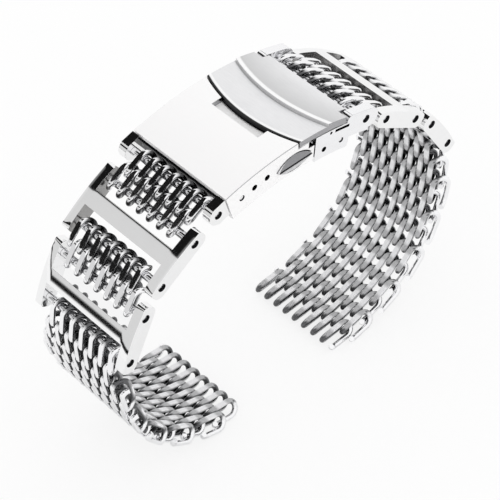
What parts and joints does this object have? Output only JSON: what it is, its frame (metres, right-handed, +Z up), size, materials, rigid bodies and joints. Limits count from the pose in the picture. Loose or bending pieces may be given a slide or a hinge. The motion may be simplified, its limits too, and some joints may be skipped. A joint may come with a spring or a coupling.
{
  "type": "mesh watch band",
  "caption": "Steel shark-mesh watch band in coiled wire rows, joined by H-shaped links to a fold-over push-button clasp with a safety flap, shown closed and standing on its ends.",
  "frame": {"origin": "middle of the band on the floor: centred on the object's box, at its lowest level", "axes": "+X across the band, out of the side that the picture shows; +Y along the clasp from its cover towards its flap hinge; +Z up, away from the floor that the band's two ends stand on"},
  "size_m": [0.022, 0.0744, 0.0572],
  "materials": {
    "mesh_steel": "polished facets",
    "polished_steel": "polished",
    "satin_steel": "satin",
    "blade_steel": "satin",
    "pin_steel": "turned",
    "spring_steel": "drawn wire"
  },
  "bodies": {
    "clasp_base": {"clasp_housing": "polished_steel", "base_blade": "blade_steel", "catch_bar": "pin_steel", "housing_rivet": "pin_steel", "flap_pin": "pin_steel", "right_end_pin": "pin_steel", "hinge_pin_base": "pin_steel"},
    "middle_blade": {"middle_blade": "blade_steel"},
    "clasp_cover": {"clasp_cover": "satin_steel", "hinge_pin_cover": "pin_steel", "cover_spring_bar": "pin_steel", "button_spring_near": "spring_steel", "button_spring_far": "spring_steel"},
    "button_near": {"push_button_near": "polished_steel"},
    "button_far": {"push_button_far": "polished_steel"},
    "safety_flap": {"safety_flap": "satin_steel"},
    "end_link": {"end_link": "polished_steel", "left_end_pin": "pin_steel"},
    "left_insert_a1": {"left_insert_a1": "mesh_steel"},
    "left_insert_a2": {"left_insert_a2": "mesh_steel"},
    "left_inner_link": {"left_inner_link": "polished_steel", "left_inner_link_pins": "pin_steel"},
    "left_insert_b1": {"left_insert_b1": "mesh_steel"},
    "left_insert_b2": {"left_insert_b2": "mesh_steel"},
    "left_outer_link": {"left_outer_link": "polished_steel", "left_outer_link_pins": "pin_steel"},
    "left_mesh_row_1": {"left_mesh_row_1": "mesh_steel"},
    "left_mesh_row_2": {"left_mesh_row_2": "mesh_steel"},
    "left_mesh_row_3": {"left_mesh_row_3": "mesh_steel"},
    "left_mesh_row_4": {"left_mesh_row_4": "mesh_steel"},
    "left_mesh_row_5": {"left_mesh_row_5": "mesh_steel"},
    "left_mesh_row_6": {"left_mesh_row_6": "mesh_steel"},
    "left_mesh_row_7": {"left_mesh_row_7": "mesh_steel"},
    "left_mesh_row_8": {"left_mesh_row_8": "mesh_steel"},
    "left_mesh_row_9": {"left_mesh_row_9": "mesh_steel"},
    "left_mesh_row_10": {"left_mesh_row_10": "mesh_steel"},
    "left_mesh_row_11": {"left_mesh_row_11": "mesh_steel"},
    "left_mesh_row_12": {"left_mesh_row_12": "mesh_steel"},
    "right_insert_a1": {"right_insert_a1": "mesh_steel"},
    "right_insert_a2": {"right_insert_a2": "mesh_steel"},
    "right_inner_link": {"right_inner_link": "polished_steel", "right_inner_link_pins": "pin_steel"},
    "right_insert_b1": {"right_insert_b1": "mesh_steel"},
    "right_insert_b2": {"right_insert_b2": "mesh_steel"},
    "right_outer_link": {"right_outer_link": "polished_steel", "right_outer_link_pins": "pin_steel"},
    "right_mesh_row_1": {"right_mesh_row_1": "mesh_steel"},
    "right_mesh_row_2": {"right_mesh_row_2": "mesh_steel"},
    "right_mesh_row_3": {"right_mesh_row_3": "mesh_steel"},
    "right_mesh_row_4": {"right_mesh_row_4": "mesh_steel"},
    "right_mesh_row_5": {"right_mesh_row_5": "mesh_steel"},
    "right_mesh_row_6": {"right_mesh_row_6": "mesh_steel"},
    "right_mesh_row_7": {"right_mesh_row_7": "mesh_steel"},
    "right_mesh_row_8": {"right_mesh_row_8": "mesh_steel"},
    "right_mesh_row_9": {"right_mesh_row_9": "mesh_steel"},
    "right_mesh_row_10": {"right_mesh_row_10": "mesh_steel"},
    "right_mesh_row_11": {"right_mesh_row_11": "mesh_steel"},
    "right_mesh_row_12": {"right_mesh_row_12": "mesh_steel"},
    "right_mesh_row_13": {"right_mesh_row_13": "mesh_steel"}
  },
  "joints": [
    {"name": "blade_open", "type": "hinge", "parent": "clasp_base", "child": "middle_blade", "pos_m": [0, -0.01235, 0.05051], "axis": [1, 0, 0], "range_deg": [0, 64]},
    {"name": "cover_unfold", "type": "hinge", "parent": "middle_blade", "child": "clasp_cover", "pos_m": [0, 0.00068, 0.053], "axis": [1, 0, 0], "range_deg": [-64, 0]},
    {"name": "flap_lift", "type": "hinge", "parent": "clasp_base", "child": "safety_flap", "pos_m": [0, 0.01132, 0.05441], "axis": [-1, 0, 0], "range_deg": [0, 96]},
    {"name": "button_near_press", "type": "slide", "parent": "clasp_cover", "child": "button_near", "axis": [-1, 0, 0], "range_m": [0, 0.0009], "stiffness_N_per_m": 400},
    {"name": "button_far_press", "type": "slide", "parent": "clasp_cover", "child": "button_far", "axis": [1, 0, 0], "range_m": [0, 0.0009], "stiffness_N_per_m": 400},
    {"name": "end_link_hinge", "type": "hinge", "parent": "clasp_cover", "child": "end_link", "pos_m": [0, -0.01192, 0.05297], "axis": [1, 0, 0], "range_deg": [0, 6]},
    {"name": "left_insert_a1_hinge", "type": "hinge", "parent": "end_link", "child": "left_insert_a1", "pos_m": [0, -0.01677, 0.05256], "axis": [-1, 0, 0], "range_deg": [-8, 15]},
    {"name": "left_insert_a2_hinge", "type": "hinge", "parent": "left_insert_a1", "child": "left_insert_a2", "pos_m": [0, -0.01919, 0.05116], "axis": [-1, 0, 0], "range_deg": [-5, 10]},
    {"name": "left_inner_link_hinge", "type": "hinge", "parent": "left_insert_a2", "child": "left_inner_link", "pos_m": [0, -0.02157, 0.04968], "axis": [-1, 0, 0], "range_deg": [-10, 15]},
    {"name": "left_insert_b1_hinge", "type": "hinge", "parent": "left_inner_link", "child": "left_insert_b1", "pos_m": [0, -0.02837, 0.04509], "axis": [-1, 0, 0], "range_deg": [-10, 15]},
    {"name": "left_insert_b2_hinge", "type": "hinge", "parent": "left_insert_b1", "child": "left_insert_b2", "pos_m": [0, -0.03024, 0.04301], "axis": [-1, 0, 0], "range_deg": [-5, 17]},
    {"name": "left_outer_link_hinge", "type": "hinge", "parent": "left_insert_b2", "child": "left_outer_link", "pos_m": [0, -0.03176, 0.04067], "axis": [-1, 0, 0], "range_deg": [-10, 15]},
    {"name": "left_mesh_row_1_hinge", "type": "hinge", "parent": "left_outer_link", "child": "left_mesh_row_1", "pos_m": [0, -0.03523, 0.03323], "axis": [-1, 0, 0], "range_deg": [-10, 15]},
    {"name": "left_mesh_row_2_hinge", "type": "hinge", "parent": "left_mesh_row_1", "child": "left_mesh_row_2", "pos_m": [0, -0.03568, 0.03], "axis": [-1, 0, 0], "range_deg": [-5, 19]},
    {"name": "left_mesh_row_3_hinge", "type": "hinge", "parent": "left_mesh_row_2", "child": "left_mesh_row_3", "pos_m": [0, -0.03549, 0.02635], "axis": [-1, 0, 0], "range_deg": [-5, 15]},
    {"name": "left_mesh_row_4_hinge", "type": "hinge", "parent": "left_mesh_row_3", "child": "left_mesh_row_4", "pos_m": [0, -0.03486, 0.02276], "axis": [-1, 0, 0], "range_deg": [-5, 13]},
    {"name": "left_mesh_row_5_hinge", "type": "hinge", "parent": "left_mesh_row_4", "child": "left_mesh_row_5", "pos_m": [0, -0.03391, 0.01923], "axis": [-1, 0, 0], "range_deg": [-5, 13]},
    {"name": "left_mesh_row_6_hinge", "type": "hinge", "parent": "left_mesh_row_5", "child": "left_mesh_row_6", "pos_m": [0, -0.03267, 0.0158], "axis": [-1, 0, 0], "range_deg": [-5, 16]},
    {"name": "left_mesh_row_7_hinge", "type": "hinge", "parent": "left_mesh_row_6", "child": "left_mesh_row_7", "pos_m": [0, -0.03095, 0.01258], "axis": [-1, 0, 0], "range_deg": [-5, 18]},
    {"name": "left_mesh_row_8_hinge", "type": "hinge", "parent": "left_mesh_row_7", "child": "left_mesh_row_8", "pos_m": [0, -0.02871, 0.0097], "axis": [-1, 0, 0], "range_deg": [-5, 18]},
    {"name": "left_mesh_row_9_hinge", "type": "hinge", "parent": "left_mesh_row_8", "child": "left_mesh_row_9", "pos_m": [0, -0.02599, 0.00726], "axis": [-1, 0, 0], "range_deg": [-5, 17]},
    {"name": "left_mesh_row_10_hinge", "type": "hinge", "parent": "left_mesh_row_9", "child": "left_mesh_row_10", "pos_m": [0, -0.02293, 0.00527], "axis": [-1, 0, 0], "range_deg": [-5, 16]},
    {"name": "left_mesh_row_11_hinge", "type": "hinge", "parent": "left_mesh_row_10", "child": "left_mesh_row_11", "pos_m": [0, -0.01962, 0.00373], "axis": [-1, 0, 0], "range_deg": [-5, 17]},
    {"name": "left_mesh_row_12_hinge", "type": "hinge", "parent": "left_mesh_row_11", "child": "left_mesh_row_12", "pos_m": [0, -0.01612, 0.00272], "axis": [-1, 0, 0], "range_deg": [-5, 18]},
    {"name": "right_insert_a1_hinge", "type": "hinge", "parent": "clasp_base", "child": "right_insert_a1", "pos_m": [0, 0.01463, 0.05256], "axis": [-1, 0, 0], "range_deg": [-15, 8]},
    {"name": "right_insert_a2_hinge", "type": "hinge", "parent": "right_insert_a1", "child": "right_insert_a2", "pos_m": [0, 0.017, 0.05108], "axis": [-1, 0, 0], "range_deg": [-10, 5]},
    {"name": "right_inner_link_hinge", "type": "hinge", "parent": "right_insert_a2", "child": "right_inner_link", "pos_m": [0, 0.01932, 0.04951], "axis": [-1, 0, 0], "range_deg": [-15, 10]},
    {"name": "right_insert_b1_hinge", "type": "hinge", "parent": "right_inner_link", "child": "right_insert_b1", "pos_m": [0, 0.02628, 0.04517], "axis": [-1, 0, 0], "range_deg": [-15, 10]},
    {"name": "right_insert_b2_hinge", "type": "hinge", "parent": "right_insert_b1", "child": "right_insert_b2", "pos_m": [0, 0.02848, 0.04344], "axis": [-1, 0, 0], "range_deg": [-18, 5]},
    {"name": "right_outer_link_hinge", "type": "hinge", "parent": "right_insert_b2", "child": "right_outer_link", "pos_m": [0, 0.03036, 0.04136], "axis": [-1, 0, 0], "range_deg": [-15, 10]},
    {"name": "right_mesh_row_1_hinge", "type": "hinge", "parent": "right_outer_link", "child": "right_mesh_row_1", "pos_m": [0, 0.0347, 0.03441], "axis": [-1, 0, 0], "range_deg": [-15, 10]},
    {"name": "right_mesh_row_2_hinge", "type": "hinge", "parent": "right_mesh_row_1", "child": "right_mesh_row_2", "pos_m": [0, 0.03555, 0.03125], "axis": [-1, 0, 0], "range_deg": [-21, 5]},
    {"name": "right_mesh_row_3_hinge", "type": "hinge", "parent": "right_mesh_row_2", "child": "right_mesh_row_3", "pos_m": [0, 0.03567, 0.0276], "axis": [-1, 0, 0], "range_deg": [-16, 5]},
    {"name": "right_mesh_row_4_hinge", "type": "hinge", "parent": "right_mesh_row_3", "child": "right_mesh_row_4", "pos_m": [0, 0.03529, 0.02397], "axis": [-1, 0, 0], "range_deg": [-13, 5]},
    {"name": "right_mesh_row_5_hinge", "type": "hinge", "parent": "right_mesh_row_4", "child": "right_mesh_row_5", "pos_m": [0, 0.0346, 0.02039], "axis": [-1, 0, 0], "range_deg": [-14, 5]},
    {"name": "right_mesh_row_6_hinge", "type": "hinge", "parent": "right_mesh_row_5", "child": "right_mesh_row_6", "pos_m": [0, 0.03353, 0.0169], "axis": [-1, 0, 0], "range_deg": [-14, 5]},
    {"name": "right_mesh_row_7_hinge", "type": "hinge", "parent": "right_mesh_row_6", "child": "right_mesh_row_7", "pos_m": [0, 0.0321, 0.01354], "axis": [-1, 0, 0], "range_deg": [-16, 5]},
    {"name": "right_mesh_row_8_hinge", "type": "hinge", "parent": "right_mesh_row_7", "child": "right_mesh_row_8", "pos_m": [0, 0.03022, 0.01041], "axis": [-1, 0, 0], "range_deg": [-19, 5]},
    {"name": "right_mesh_row_9_hinge", "type": "hinge", "parent": "right_mesh_row_8", "child": "right_mesh_row_9", "pos_m": [0, 0.02778, 0.0077], "axis": [-1, 0, 0], "range_deg": [-19, 5]},
    {"name": "right_mesh_row_10_hinge", "type": "hinge", "parent": "right_mesh_row_9", "child": "right_mesh_row_10", "pos_m": [0, 0.02487, 0.0055], "axis": [-1, 0, 0], "range_deg": [-18, 5]},
    {"name": "right_mesh_row_11_hinge", "type": "hinge", "parent": "right_mesh_row_10", "child": "right_mesh_row_11", "pos_m": [0, 0.02161, 0.00385], "axis": [-1, 0, 0], "range_deg": [-15, 5]},
    {"name": "right_mesh_row_12_hinge", "type": "hinge", "parent": "right_mesh_row_11", "child": "right_mesh_row_12", "pos_m": [0, 0.01818, 0.0026], "axis": [-1, 0, 0], "range_deg": [-14, 5]},
    {"name": "right_mesh_row_13_hinge", "type": "hinge", "parent": "right_mesh_row_12", "child": "right_mesh_row_13", "pos_m": [0, 0.01464, 0.00171], "axis": [-1, 0, 0], "range_deg": [-17, 5]}
  ],
  "couplings": [
    {"joint": "cover_unfold", "follows": "blade_open", "ratio": -1},
    {"joint": "flap_lift", "follows": "blade_open", "ratio": 1.5}
  ]
}
